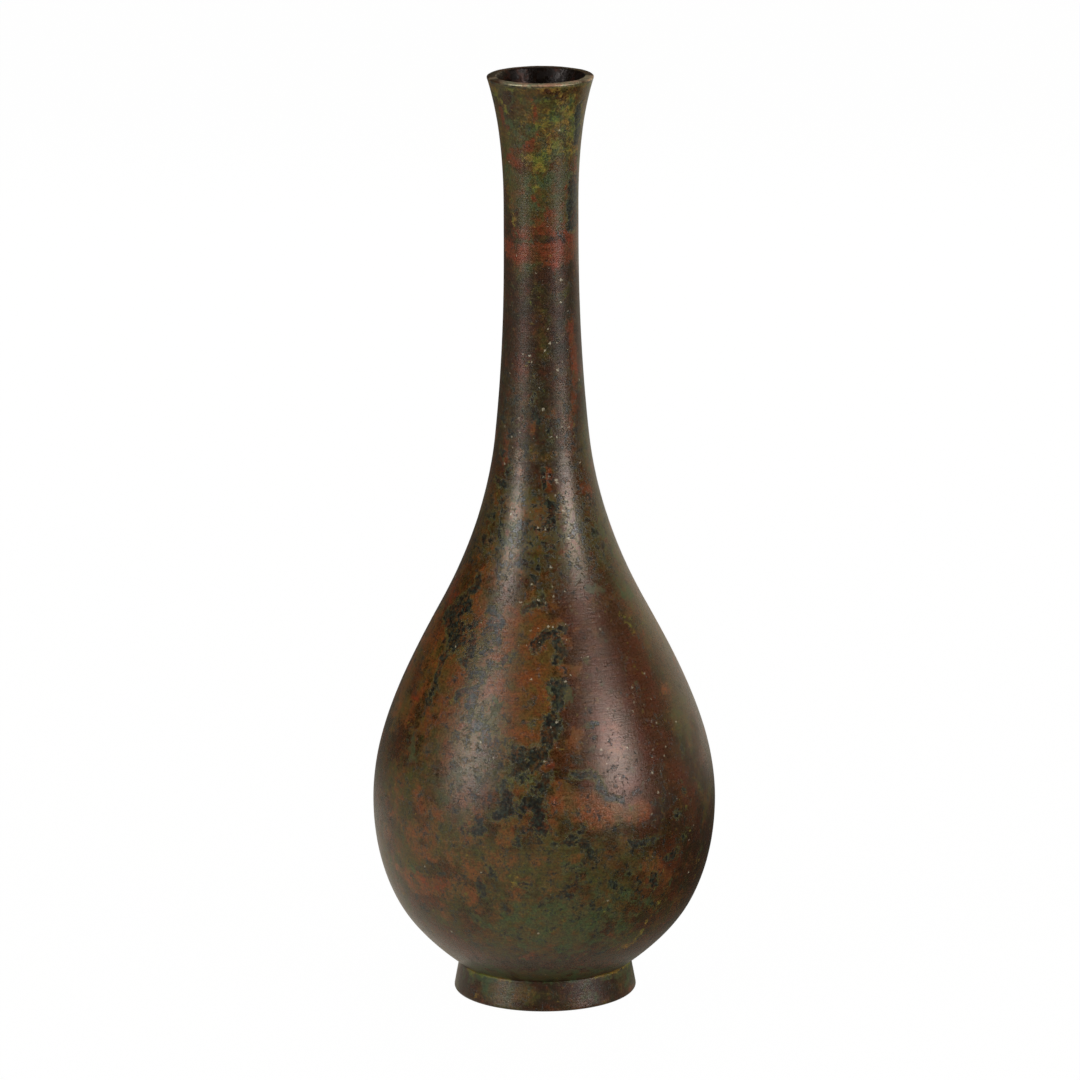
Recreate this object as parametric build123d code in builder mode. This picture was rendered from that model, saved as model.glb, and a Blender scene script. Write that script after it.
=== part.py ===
"""Long-necked bronze bottle vessel on a low foot ring.

The vessel is cast in one pour from lip to underbelly, open below where the core came out. A turned plate
closes that opening from underneath, a cast ring forms the foot, and soft solder holds and seals both.
Millimetres, +Z up, origin on the vessel's axis in the plane that it stands on.
"""

import os
from math import cos, radians, sin

from build123d import *

# Outline of the casting: diameters outside, heights above the standing plane,
# and leans in degrees from upright, positive where the wall opens upwards.
total_height = 300.0
mouth_diameter = 34.2
mouth_lean = 18.0
neck_diameter = 23.7
neck_height = 256.0
neck_root_diameter = 30.0
neck_root_height = 184.0
neck_root_lean = -6.0
shoulder_diameter = 64.0
shoulder_height = 130.0
shoulder_lean = -28.0
belly_diameter = 110.4
belly_height = 63.8
underbelly_diameter = 89.3
underbelly_height = 26.0
underbelly_lean = 36.0
seat_lean = 53.0

# Walls of the casting
wall_thickness = 2.6
lip_width = 3.1
lip_edge_radius = 0.5

# Spigot below the belly, which carries the foot ring outside and the base plate inside
spigot_length = 5.2
spigot_wall = 2.6
plate_ledge_width = 1.4

# Foot ring
foot_height = 9.7
foot_top_diameter = 55.6
foot_flare = 1.8
foot_seat_width = 2.8
foot_rim_width = 3.6
foot_edge_radius = 0.8
foot_arris_radius = 0.35

# Base plate
plate_thickness = 2.0
plate_edge_chamfer = 0.3

# Solder: the film that runs into each joint, and the bead left at its lower end
solder_film = 0.12
foot_bead_width = 1.1
foot_bead_height = 1.3
plate_bead_width = 0.9
plate_bead_height = 0.7
bead_hollow = 0.2

# Places that follow from the sizes above
foot_top_radius = foot_top_diameter / 2
foot_bottom_radius = foot_top_radius + foot_flare
foot_inner_radius = foot_bottom_radius - foot_rim_width
spigot_radius = foot_top_radius - foot_seat_width
spigot_bottom = foot_height - spigot_length
core_opening_radius = spigot_radius - spigot_wall
rebate_radius = core_opening_radius + plate_ledge_width
plate_bottom = spigot_bottom + plate_bead_height
plate_top = plate_bottom + plate_thickness
foot_bore_radius = spigot_radius + solder_film


def direction(lean):
    """Unit vector up along an outline that leans out from upright by this many degrees."""
    return (sin(radians(lean)), cos(radians(lean)))


def inside(point, lean):
    """Point of the inner wall that faces a point of the outline, one wall thickness away."""
    across, up = direction(lean)
    return (point[0] - wall_thickness * up, point[1] + wall_thickness * across)


# From the foot's arris to the lip, each point of the outline with the lean of the wall there.
outline = [
    ((foot_top_radius, foot_height), seat_lean),
    ((underbelly_diameter / 2, underbelly_height), underbelly_lean),
    ((belly_diameter / 2, belly_height), 0),
    ((shoulder_diameter / 2, shoulder_height), shoulder_lean),
    ((neck_root_diameter / 2, neck_root_height), neck_root_lean),
    ((neck_diameter / 2, neck_height), 0),
    ((mouth_diameter / 2, total_height), mouth_lean),
]
leans = [lean for point, lean in outline]
outer_points = [point for point, lean in outline]
inner_points = [inside(point, lean) for point, lean in outline[:-1]]
inner_points.append((mouth_diameter / 2 - lip_width, total_height))

# The inner wall runs on at the same lean until it meets the core opening.
floor_radius, floor_height = inner_points[0]
seat_across, seat_up = direction(seat_lean)
opening_top = floor_height - (floor_radius - core_opening_radius) * seat_up / seat_across


# Casting: belly, neck and mouth in one piece, with the spigot at its lower end
with BuildPart() as body_casting:
    with BuildSketch(Plane.XZ):
        with BuildLine():
            outer_wall = Spline(*outer_points, tangents=[direction(lean) for lean in leans])
            inner_wall = Spline(*inner_points, tangents=[direction(lean) for lean in leans])
            Line(outer_wall @ 1, inner_wall @ 1)
            Polyline(
                inner_wall @ 0,
                (core_opening_radius, opening_top),
                (core_opening_radius, plate_top),
                (rebate_radius, plate_top),
                (rebate_radius, spigot_bottom),
                (spigot_radius, spigot_bottom),
                (spigot_radius, foot_height),
                outer_wall @ 0,
            )
        make_face()
    revolve(axis=Axis.Z)
    lip_edges = body_casting.edges().filter_by(GeomType.CIRCLE).group_by(Axis.Z)[-1]
    fillet(lip_edges, radius=min(lip_edge_radius, lip_width / 3))
body_casting.part.label = "body_casting"


# Foot ring: flared outside, bored for the spigot above and opened out a little below it
with BuildPart() as foot_ring:
    with BuildSketch(Plane.XZ):
        with BuildLine():
            Polyline(
                (foot_bore_radius, foot_height),
                (foot_top_radius, foot_height),
                (foot_bottom_radius, 0),
                (foot_inner_radius, 0),
                (foot_bore_radius, spigot_bottom),
                close=True,
            )
        make_face()
    revolve(axis=Axis.Z)
    foot_circles = foot_ring.edges().filter_by(GeomType.CIRCLE)
    fillet(foot_circles.group_by(Axis.Z)[0].sort_by(SortBy.RADIUS)[-1], radius=foot_edge_radius)
    fillet(foot_circles.group_by(Axis.Z)[-1].sort_by(SortBy.RADIUS)[-1], radius=foot_arris_radius)
foot_ring.part.label = "foot_ring"


# Base plate: a turned disc pushed up against the ledge in the spigot
with BuildPart() as base_plate:
    with BuildSketch(Plane.XY.offset(plate_bottom)):
        Circle(rebate_radius - solder_film)
    extrude(amount=plate_thickness)
    chamfer(base_plate.edges().group_by(Axis.Z)[0], length=plate_edge_chamfer)
base_plate.part.label = "base_plate"


# Solder round the spigot: a film in the foot's bore and a hollow bead under the spigot's end
foot_bevel_slope = (foot_inner_radius - foot_bore_radius) / spigot_bottom
foot_bead_radius = foot_bore_radius + foot_bead_height * foot_bevel_slope
with BuildPart() as foot_solder:
    with BuildSketch(Plane.XZ):
        with BuildLine():
            film_outline = Polyline(
                (foot_bore_radius - foot_bead_width, spigot_bottom),
                (spigot_radius, spigot_bottom),
                (spigot_radius, foot_height),
                (foot_bore_radius, foot_height),
                (foot_bore_radius, spigot_bottom),
                (foot_bead_radius, spigot_bottom - foot_bead_height),
            )
            SagittaArc(film_outline @ 1, film_outline @ 0, -bead_hollow)
        make_face()
    revolve(axis=Axis.Z)
foot_solder.part.label = "foot_solder"


# Solder round the base plate: a film in the rebate and a hollow bead in the corner below the plate
with BuildPart() as plate_solder:
    with BuildSketch(Plane.XZ):
        with BuildLine():
            film_outline = Polyline(
                (rebate_radius - solder_film - plate_bead_width, plate_bottom),
                (rebate_radius - solder_film - plate_edge_chamfer, plate_bottom),
                (rebate_radius - solder_film, plate_bottom + plate_edge_chamfer),
                (rebate_radius - solder_film, plate_top),
                (rebate_radius, plate_top),
                (rebate_radius, spigot_bottom),
            )
            SagittaArc(film_outline @ 1, film_outline @ 0, -bead_hollow)
        make_face()
    revolve(axis=Axis.Z)
plate_solder.part.label = "plate_solder"


os.makedirs("parts", exist_ok=True)
for piece in (body_casting, foot_ring, base_plate, foot_solder, plate_solder):
    export_step(piece.part, f"parts/{piece.part.label}.step")
    print(piece.part.label, "volume", round(piece.part.volume, 1), "mm3")
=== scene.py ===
"""Looks of a long-necked bronze bottle with a mottled, waxed patina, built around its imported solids.

The casting, the foot ring, the base plate and the two rings of solder are spun from the sections of their
solids. The patina is painted on the casting and the foot as soft weights, one for each kind of corrosion,
and the materials break those weights up into ragged patches.
"""

import math

import bmesh
import bpy
import numpy as np
from bpy.props import FloatProperty, FloatVectorProperty, IntProperty, PointerProperty
from mathutils import Euler, Matrix, Vector, noise
from mathutils.geometry import interpolate_bezier


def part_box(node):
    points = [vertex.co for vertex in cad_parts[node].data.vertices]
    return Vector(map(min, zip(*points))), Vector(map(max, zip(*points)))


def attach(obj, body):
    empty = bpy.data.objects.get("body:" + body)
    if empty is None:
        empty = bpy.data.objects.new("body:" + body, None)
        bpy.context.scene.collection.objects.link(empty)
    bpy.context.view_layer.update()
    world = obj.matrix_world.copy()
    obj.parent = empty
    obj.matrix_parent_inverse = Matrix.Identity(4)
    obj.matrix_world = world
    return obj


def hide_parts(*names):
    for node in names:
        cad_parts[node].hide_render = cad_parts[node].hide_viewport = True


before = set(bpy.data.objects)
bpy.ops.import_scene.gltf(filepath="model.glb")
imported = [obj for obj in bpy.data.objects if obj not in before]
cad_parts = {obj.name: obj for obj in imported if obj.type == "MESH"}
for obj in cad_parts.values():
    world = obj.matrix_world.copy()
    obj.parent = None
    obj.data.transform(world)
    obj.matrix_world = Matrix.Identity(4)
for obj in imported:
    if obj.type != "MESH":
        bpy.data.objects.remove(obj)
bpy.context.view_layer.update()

bl_info = {
    "name": "Patinated Bronze Bottle",
    "version": (1, 0, 0),
    "blender": (4, 5, 0),
    "location": "View3D > Sidebar > Bottle",
    "description": "Builds the visible pieces of a bronze bottle around its solids",
    "category": "Object",
}

MILLIMETRE = 0.001
PERCENT = 100
# Sections: points this close are one, bends this sharp are corners, and a side this much longer is flat
MERGE_DISTANCE = 1e-7
CORNER_ANGLE = math.radians(25)
FLAT_RATIO = 3.0
# Spinning: how often the first part of a turn is doubled, and the bend above which an edge looks sharp
SPIN_DOUBLINGS = 3
SHARP_ANGLE = math.radians(35)
# Falloff, lacunarity and octaves of the unevenness
SWELL_NOISE = (1, 2, 3)
# Casting, in metres: height over which its unevenness sets in above the spigot, and height of the lip's dents
SEAT_FADE = 0.008
LIP_ZONE = 0.0008
# The dents go inwards, and are this many times narrower than the swell, as are the lumps in the solder
LIP_WEAR = -0.5
DENT_RATIO = 4
LUMP_RATIO = 8
# How far a face looks inwards to belong to the bore, and downwards to belong to a bead of solder
BORE_LEAN = -0.3
BEAD_LEAN = -0.2
# How many times closer the rows are on the foot and on the solder
FOOT_FINENESS = 2
SOLDER_FINENESS = 4
# Turning rings under the base plate, in metres
RING_STEP = 0.0006
RING_DEPTH = 0.00005

# Sockets of a Mix node: its share and two values, its share and two colours, and the mixed colour
MIX_VALUES = (0, 2, 3)
MIX_COLOURS = (0, 6, 7)
MIX_COLOUR_RESULT = 2
# Middle of a noise, and of a cover where a patch begins
HALF = 0.5
# Noise detail and rim of the ragged patches
PATCH_DETAIL = 9.0
PATCH_RIM = 0.1
# Grains: wobble of their edges, variation and least of their size, and the share of it that is solid
WOBBLE_NOISE = {"Scale": 2200.0, "Detail": 1.0}
WOBBLE_DEPTH = (0.0011, 0.0011, 0.0011)
GRAIN_VARIES = 0.8
GRAIN_LEAST = 0.35
GRAIN_CORE = 0.55
# Turning marks: scale, how they are drawn out round the bottle, and their noise
MARK_SCALE = 3000.0
MARK_SQUASH = (0.035, 0.035, 1.0)
MARK_DETAIL = 3.0
MARK_ROUGHNESS = 0.6

# Blotches on the side towards the camera, by layer: bearing in degrees from the front, positive to the
# right, height above the standing plane, half width and half height in millimetres, strength in percent.
BLOTCHES = {
    "ochre": (
        (-32, 298, 5.5, 1, 60), (-72, 297, 5, 2, 60), (37, 281, 7, 6, 60), (32, 288, 10, 8, 62),
        (-57, 8.6, 1.2, 1.2, 90), (-50, 2, 1.2, 1.2, 80),
    ),
    "verdigris": (
        (30, 286, 9, 8.5, 75), (-26, 289, 6.5, 6.5, 55), (11, 278, 7, 4.5, 65), (-57, 267, 5.5, 6.5, 60),
        (31, 270, 5, 4.5, 80), (-16, 255, 1.5, 1.5, 60), (-19, 249, 1.5, 1.5, 60), (-42, 257, 2.5, 3, 50),
        (60, 155, 5, 8.5, 55), (63, 137, 5, 6, 50), (-33, 154, 3, 5, 45), (6, 110, 3, 2.5, 75),
        (-55, 88, 3.5, 2, 70), (20, 38, 10.5, 7, 60), (10, 55, 6.5, 4, 55), (39, 39, 5.5, 4.5, 50),
        (-18, 27, 7.5, 3.5, 45), (-63, 48, 4, 3.5, 60), (82, 5, 4, 5, 80), (-40, 7, 4, 3, 60),
        (75, 182, 4, 9, 60), (24, 284, 15, 10, 62), (-5, 266, 14, 6, 50), (6, 34, 24, 11, 80),
        (22, 44, 14, 9, 55), (10, 9.5, 20, 0.7, 65), (-62, 8, 5, 2, 60), (30, 5, 5, 3, 50),
        (0, 13, 40, 3.5, 75),
    ),
    "red": (
        (34, 274, 2.5, 1, 70), (13, 257, 2, 3, 85), (35, 259, 2, 3, 60), (35, 248, 3, 3, 80),
        (60, 247, 2.5, 4, 85), (-48, 181, 3, 5.5, 70), (-76, 134, 5.5, 4, 70), (-43, 46, 7.5, 3.5, 60),
        (-61, 42, 4, 3.5, 60), (30, 250, 10, 7, 60), (15, 257, 8, 5, 50), (62, 250, 6, 8, 70),
    ),
    "maroon": (
        (-70, 108, 4.5, 5.5, 80), (49, 117, 6, 6, 105), (44, 106, 6.5, 8.5, 120), (45, 92, 6, 7, 100),
        (52, 80, 7, 12, 85), (49, 52, 7, 7, 85), (42, 45, 7, 4.5, 85), (58, 70, 4.5, 8.5, 85),
        (-72, 128, 5, 22, 60), (56, 210, 4, 20, 50), (-30, 205, 6, 30, 40), (32, 165, 12, 26, 62),
        (-66, 160, 9, 22, 55), (72, 160, 8, 24, 50), (36, 192, 7, 16, 55),
    ),
    "copper": (
        (-42, 144, 4.5, 2, 90), (-45, 115, 3.5, 4.5, 95), (-4, 130, 4, 4.5, 95), (-18, 123, 5.5, 2.5, 100),
        (-31, 117, 5, 2.5, 100), (-19, 110, 5.5, 2.5, 90), (-2, 108, 2.5, 4, 95), (5, 122, 3, 4, 100),
        (9, 116, 2, 2.5, 100), (1, 111, 2, 2.5, 90), (-3, 95, 3, 3, 85), (-8, 81, 2.5, 2.5, 100),
        (-5, 74, 1.5, 1.5, 100), (-14, 66, 5, 3.5, 85), (-7, 70, 4.5, 1.5, 85), (-40, 65, 1.5, 2, 110),
        (-46, 57, 4.5, 2.5, 100), (-40, 56, 2.5, 1.5, 100), (-48, 65, 2, 1.5, 80), (2, 70, 3, 3, 95),
        (11, 94, 4, 5.5, 80), (6, 81, 3, 3, 85), (59, 105, 2, 1.5, 80), (15, 194, 1.5, 1.5, 90),
        (-12, 190, 1, 2.5, 80), (-14, 181, 1, 3, 60), (-29, 180, 2, 2, 70), (-27, 43, 5, 3.5, 55),
        (0, 50, 3, 3, 55), (-23, 86, 3.5, 2.5, 60), (-38, 112, 30, 26, 95), (-10, 112, 14, 26, 100),
        (-30, 62, 40, 26, 50), (-25, 150, 14, 20, 42), (-76, 112, 12, 28, 85), (-38, 152, 14, 14, 60),
        (2, 162, 9, 16, 50), (-30, 172, 8, 12, 50),
    ),
    "rose": (
        (9, 76, 9, 5, 100), (20, 72, 9, 4.5, 105), (32, 71, 6, 4, 95), (28, 88, 10, 7, 30),
    ),
    "soot": (
        (-35, 105, 40, 50, 10), (-5, 55, 55, 32, 20), (0, 190, 40, 26, 20), (-8, 156, 45, 18, 30),
        (-38, 122, 8, 10, 30), (-27, 100, 12, 8, 30), (-8, 84, 10, 6, 30), (-22, 88, 14, 8, 24),
        (-75, 100, 8, 30, 20), (20, 78, 10, 8, 16),
    ),
    "mauve": (
        (30, 126, 14, 18, 100), (30, 101, 18, 16, 115), (30, 82, 17, 11, 110), (33, 191, 3, 12.5, 60),
        (30, 172, 3.5, 12.5, 60), (26, 149, 5, 10.5, 65), (23, 246, 2.5, 6.5, 50), (-35, 214, 3, 19, 35),
        (-43, 25, 11, 5, 60), (-57, 74, 6, 6, 35),
    ),
    "olive": (
        (-27, 285, 8, 13, 80), (0, 266, 11.5, 6.5, 80), (87, 116, 7, 14, 30), (66, 94, 6, 9, 40),
        (49, 137, 6.5, 11, 60), (-25, 60, 17.5, 10, 65), (5, 55, 19, 9.5, 80), (-40, 87, 16, 12, 60),
        (-2, 35, 28.5, 10.5, 90), (-24, 127, 6, 9, 75), (-24, 101, 6, 8, 70), (-57, 71, 11.5, 19, 70),
        (-33, 241, 5.5, 4.5, 50), (5, 283, 26, 14, 95), (0, 263, 24, 8, 90), (-20, 5, 12, 3, 60),
        (75, 182, 4, 10, 70), (80, 150, 5, 14, 40), (24, 83, 5, 4.5, 75),
    ),
    "umber": (
        (0, 208, 90, 36, 130), (0, 160, 90, 18, 50), (60, 70, 16, 30, 70), (-72, 5, 10, 6, 100),
        # The last umber blotch, a thin band round the belly just above the foot ring, is painted shade where
        # the belly meets the foot.
        (5, 6, 16, 4, 90), (52, 4, 12, 6, 90), (0, 10.5, 60, 1.5, 100),
    ),
    # Bare metal on the lip where it catches the light on the camera's side: partly wear, partly a painted
    # highlight.
    "rubbed": (
        (-12, 300, 11, 1, 120), (26, 300, 8, 1, 110), (74, 300, 7, 1, 100), (-74, 300, 3, 1, 70),
        (-125, 300, 5, 1, 60),
    ),
    "polish": (
        (-24, 158, 9, 18, 100), (24, 160, 8, 18, 100), (28, 92, 10, 14, 60),
    ),
    "grit": (
        (4, 235, 6, 12, 75), (10, 208, 7, 14, 70), (-4, 186, 10, 9, 80), (2, 165, 8, 12, 60),
        (0, 140, 10, 8, 80), (6, 126, 9, 9, 100), (12, 112, 6, 10, 70), (40, 100, 10, 9, 45),
        (50, 82, 9, 10, 70), (-22, 128, 6, 6, 50),
    ),
}

# Streaks on the same side, by layer: half width in millimetres, strength in percent, and then the bearing
# and height of each point that the streak runs through.
STREAKS = {
    "soot": (
        (2.8, 125, -56, 132, -60, 130, -65, 128, -55, 126, -50, 122),
        (1.2, 85, -54, 121.5, -54, 118.5, -54, 116),
        (1.2, 75, -55, 115.5, -54, 112, -54, 109, -53, 106, -53, 103.5), (1, 80, -41, 117, -38, 115.5),
        (2.1, 65, -32, 132, -26, 129, -28, 124, -31, 121.5),
        (1.2, 55, -44, 127, -39, 124.5, -38, 120.5, -39, 117.5),
        (1, 65, -15, 121, -18, 118.5, -22, 117, -26, 117.5, -28, 115, -33, 114.5, -35, 112),
        (1.1, 65, -28, 115, -28, 111.5, -31, 109.5, -37, 108.5, -39, 106),
        (1, 85, -12, 132.5, -10, 134.5, -3, 135.5, 0, 136, -1, 138),
        (1.2, 75, -5, 122, -3, 124.5, 1, 126.5, 7, 127, 11, 128.5), (1.2, 85, 7, 124.5, 9, 121.5, 6, 119),
        (2.1, 80, 6, 111.5, 6, 107.5), (1.6, 90, 4, 102.5, 5, 100, 3, 97.5),
        (1.6, 85, 2, 101.5, 1, 95.5, -1, 91), (3.3, 45, -31, 105.5, -26, 98.5),
        (1.6, 55, -24, 96, -18, 97, -14, 95, -12, 93.5), (2.9, 75, -10, 91, -8, 85.5),
        (2.5, 65, -3, 92.5, -5, 87.5), (1.8, 80, -13, 79.5, -12, 77.5, -13, 74.5, -11, 73.5),
        (2.1, 90, -7, 76, -3, 77, -1, 75, -2, 71, -1, 67.5), (1.2, 80, -4, 80.5, 0, 82.5, 2, 85),
        (1.4, 75, -17, 71.5, -13, 73), (1.6, 65, -27, 68.5, -24, 66.5, -21, 67.5), (1, 75, -8, 67, -9, 63),
        (1, 75, -19, 55.5, -17, 52.5), (1.2, 75, -8, 50, -5, 49), (1.6, 65, -22, 49, -22, 46),
        (1.4, 65, 10, 85, 15, 85, 17, 85.5, 19, 83, 20, 80), (0.7, 80, 21, 77.5, 27, 76),
        (1.1, 65, 8, 65.5, 11, 67, 13, 68.5), (1, 75, 3, 63.5, 6, 64, 13, 64, 15, 61),
        (1.1, 75, 30, 61.5, 34, 61, 40, 62), (0.9, 75, 45, 54, 49, 54.5, 51, 56),
        (1.4, 80, 40, 49, 41, 45.5), (0.9, 75, 30, 51.5), (1.3, 75, 25, 48), (0.9, 75, 11, 52),
        (1.1, 75, 9, 45.5), (0.7, 75, 34, 53), (1.6, 65, 50, 67.5), (1.1, 65, 54, 59.5),
        (1.2, 65, 59, 86.5), (1.1, 65, 55, 74.5), (0.9, 65, 21, 118.5), (1.1, 75, -5, 100),
        (0.6, 100, 1, 176, 1, 173, 2, 170.5), (1.2, 75, 5, 165.5, 13, 164.5), (1, 65, 9, 162, 10, 159.5),
        (1, 80, -59, 181, -52, 179), (1, 75, -44, 174.5, -39, 175.5), (1.2, 75, -61, 171, -46, 170),
        (1.2, 65, -62, 159.5, -52, 160), (0.9, 80, -59, 153, -54, 150.5),
        (1.1, 85, -51, 141, -49, 138, -55, 136), (2.2, 160, 60, 267, 58, 261, 60, 254),
        (1.3, 120, 55, 291, 58, 285.5, 60, 280.5), (0.5, 80, 16, 99.5, 21, 100),
        (0.9, 75, -71, 191, -58, 190.5), (0.9, 65, -10, 199.5, -15, 197.5), (0.8, 65, 8, 188.5, 12, 185.5),
        # The last soot streak, a thin dark line just under the lip's outer edge on the side towards the
        # camera, is painted shade of that rounding.
        (1.2, 60, -13, 83.5, -15, 81), (0.3, 120, -70, 299, 0, 299, 70, 299),
    ),
    "red": (
        (0.6, 100, -11, 295, -7, 292.5, -6, 288.5, -5, 283.5, -14, 281),
        (1.6, 100, -14, 280, -29, 278, -48, 277), (1.7, 95, -54, 275, -37, 274),
        (1.1, 95, 65, 278.5, 63, 272, 70, 267), (1, 85, 42, 267.5, 45, 263, 37, 261),
        (3.6, 105, -60, 245.5, -8, 246, 57, 246), (2.8, 75, 15, 257.5, 43, 252.5),
        (1, 80, -59, 290.5, -56, 286.5, -49, 285), (2.1, 70, 47, 169.5, 55, 167),
        (3, 75, -45, 251.5, 10, 252, 57, 252), (0.8, 85, -27, 268), (0.8, 75, -13, 263, -5, 261),
        (0.8, 75, -26, 257.5), (1.6, 85, 50, 221, 52, 213, 54, 205, 47, 197, 40, 189.5),
        (1.4, 70, 5, 176, 6, 169.5), (1, 70, -79, 186, -81, 181), (1.4, 100, -66, 103, -61, 102.5),
        (1.4, 70, 1, 90, 3, 88.5, 2, 93.5), (1.4, 70, -11, 22, -5, 22.5), (1, 70, 15, 22, 20, 23),
        (1, 70, 69, 1.5, 79, 2),
    ),
    "copper": (
        (1.7, 95, -53, 141.5, -47, 143.5, -34, 144), (3.1, 90, -8, 81), (1.7, 105, -5, 75),
        (3.1, 90, -15, 65.5, -12, 65.5), (2.8, 75, -7, 69.5, -3, 68.5), (1.4, 105, -40, 65.5, -38, 63),
        (2.4, 95, -47, 57, -40, 56.5), (1.4, 70, -34, 57.5, -33, 54), (1.4, 70, -31, 72),
        (4.9, 75, -53, 45.5, -42, 46), (3.5, 70, -36, 45, -26, 45.5), (4.2, 80, 38, 53, 45, 46.5),
        (2.8, 65, 10, 72, 21, 71.5, 29, 70),
    ),
    "ochre": (
        # The first two ochre streaks, a thin bright line along the foot ring's top edge on the side towards
        # the camera, are partly yellow-green corrosion at the joint and partly a painted highlight on that
        # edge.
        (0.5, 130, -64, 9.5, -45, 9.6, -24, 9.6), (0.5, 130, 36, 9.6, 58, 9.6, 80, 9.5),
        (1.1, 90, -3, 299, 22, 299, 41, 299.5, 72, 298.5), (1.1, 60, -71, 295.5, -50, 292.5, -47, 290),
        (0.8, 80, 45, 38.5, 42, 31, 41, 24.5, 34, 22.5), (1.8, 90, -19, 276, -4, 275, -3, 273),
        (1.5, 70, 7, 278, 17, 279.5), (0.9, 90, -12, 266, -5, 266.5), (0.8, 80, -49, 257.5, -47, 254),
        (4.4, 55, 27, 296, 44, 290, 33, 282), (1.8, 50, 52, 128.5, 54, 126), (1.5, 50, 1, 107.5, 2, 104),
        (1.5, 50, -12, 83, -5, 84), (1.5, 50, -10, 52, -11, 48),
    ),
    "verdigris": (
        (1.1, 110, -59, 8.5, -44, 8.5, -31, 9), (1.1, 95, 41, 8.5, 54, 8.5, 75, 8.5),
        (1.5, 90, 74, 6, 65, 3), (2, 110, 0, 33), (1.5, 80, -19, 107, -20, 103.5),
        (1.8, 80, 9, 110.5, 10, 107, 5, 106), (2.2, 75, -56, 89.5, -54, 87),
        (1.1, 85, -51, 50.5, -50, 48.5), (1.1, 80, 30, 139, 44, 137.5), (1.8, 60, 25, 37.5, 30, 31),
    ),
}

# Cover that each layer has everywhere, before the blotches and streaks
BASE_COVER = {
    "umber": 0.0, "olive": 0.2, "mauve": -0.05, "copper": -0.1, "rose": -0.2, "maroon": -0.1, "red": -0.15,
    "verdigris": -0.1, "ochre": -0.15, "rubbed": -0.5, "soot": -0.04, "grit": 0.03, "polish": 0.0,
}

# The side away from the camera has the same kinds of blotch, turned round and moved up a little.
# Between the two sides the blotches fade out and in.
BACK_TURN = 174
BACK_RISE = 5
SIDE_FADE_START = 84
SIDE_FADE_END = 110

# Steepness of the edges of blotches, and the least squared length of a streak, for one that is a spot
EDGE_POWER = 1.2
SMALL = 1e-6

# Above this height, in millimetres, the lip is clean and dull but for where it is rubbed bare and lightened
# into a painted highlight
LIP_TOP = 299.4
LIP_COVER = {"polish": -1.6}


def property_maker(kind, **options):
    """A function that makes properties of one kind, each from a name, a description and a default."""
    def make(name, description, default):
        return kind(name=name, description=description, default=default, **options)
    return make


length = property_maker(FloatProperty, unit="LENGTH")
angle = property_maker(FloatProperty, subtype="ANGLE")
power = property_maker(FloatProperty, unit="POWER")
amount = property_maker(FloatProperty, min=0)
shade = property_maker(FloatVectorProperty, subtype="COLOR", size=3, min=0, max=1)


class BottleShape(bpy.types.PropertyGroup):
    """Fineness and unevenness of the visible meshes."""

    columns: IntProperty(name="Columns", description="Faces round the bottle", default=256, min=24)
    row_spacing: length("Row Spacing", "Height of a face on the outer wall", 0.00125)
    bore_row_spacing: length("Bore Row Spacing", "Height of a face on the inner wall", 0.006)
    swell_size: length("Swell Size", "Width of the slow unevenness left by scraping", 0.02)
    swell_depth: length("Swell Depth", "Height of the slow unevenness", 0.00005)
    edge_wear: length("Edge Wear", "Depth of the dents along the lip", 0.00012)
    solder_lumps: length("Solder Lumps", "Height of the lumps in the solder", 0.00018)


class BottlePatina(bpy.types.PropertyGroup):
    """Colours of the bronze and of what has grown on it."""

    brown: shade("Brown", "Waxed bronze, where it is lighter", (0.05, 0.0195, 0.0045))
    umber: shade("Umber", "Waxed bronze, where it is darker", (0.027, 0.0095, 0.0021))
    olive: shade("Olive", "Thin green-brown film", (0.058, 0.043, 0.0078))
    mauve: shade("Mauve", "Purple-brown bare patches", (0.06, 0.0215, 0.0118))
    copper: shade("Copper", "Orange-brown islands", (0.112, 0.043, 0.0105))
    rose: shade("Rose", "Polished pink-brown patch", (0.165, 0.061, 0.029))
    maroon: shade("Maroon", "Dark red film", (0.066, 0.0175, 0.007))
    red: shade("Red", "Brick-red oxide", (0.122, 0.027, 0.0095))
    verdigris: shade("Verdigris", "Green corrosion", (0.04, 0.052, 0.021))
    teal: shade("Teal", "Blue-green corrosion in the deepest spots", (0.022, 0.031, 0.0215))
    ochre: shade("Ochre", "Yellow-green corrosion", (0.13, 0.105, 0.0125))
    # Also the colour of a line of painted shade under the lip's outer edge.
    soot: shade("Soot", "Blue-black patches and veins", (0.0022, 0.0023, 0.002))
    film: shade("Film", "Thin dark olive film", (0.036, 0.0225, 0.0065))
    fringe: shade("Fringe", "Yellow-green edge of the dark crust", (0.066, 0.066, 0.018))
    pit: shade("Pit", "Pits in the skin of the casting", (0.008, 0.007, 0.006))
    speck: shade("Speck", "Pale grains in the skin of the casting", (0.3, 0.27, 0.2))
    # Bare metal on the lip, made light enough to serve as a painted highlight too.
    rubbed: shade("Rubbed", "Bare metal on the lip", (0.34, 0.27, 0.235))
    # The bore's near-black colour is painted shade of the deep, narrow neck.
    bore: shade("Bore", "Inside of the neck", (0.012, 0.0075, 0.006))
    solder: shade("Solder", "Dull soft solder", (0.16, 0.155, 0.145))


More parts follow.
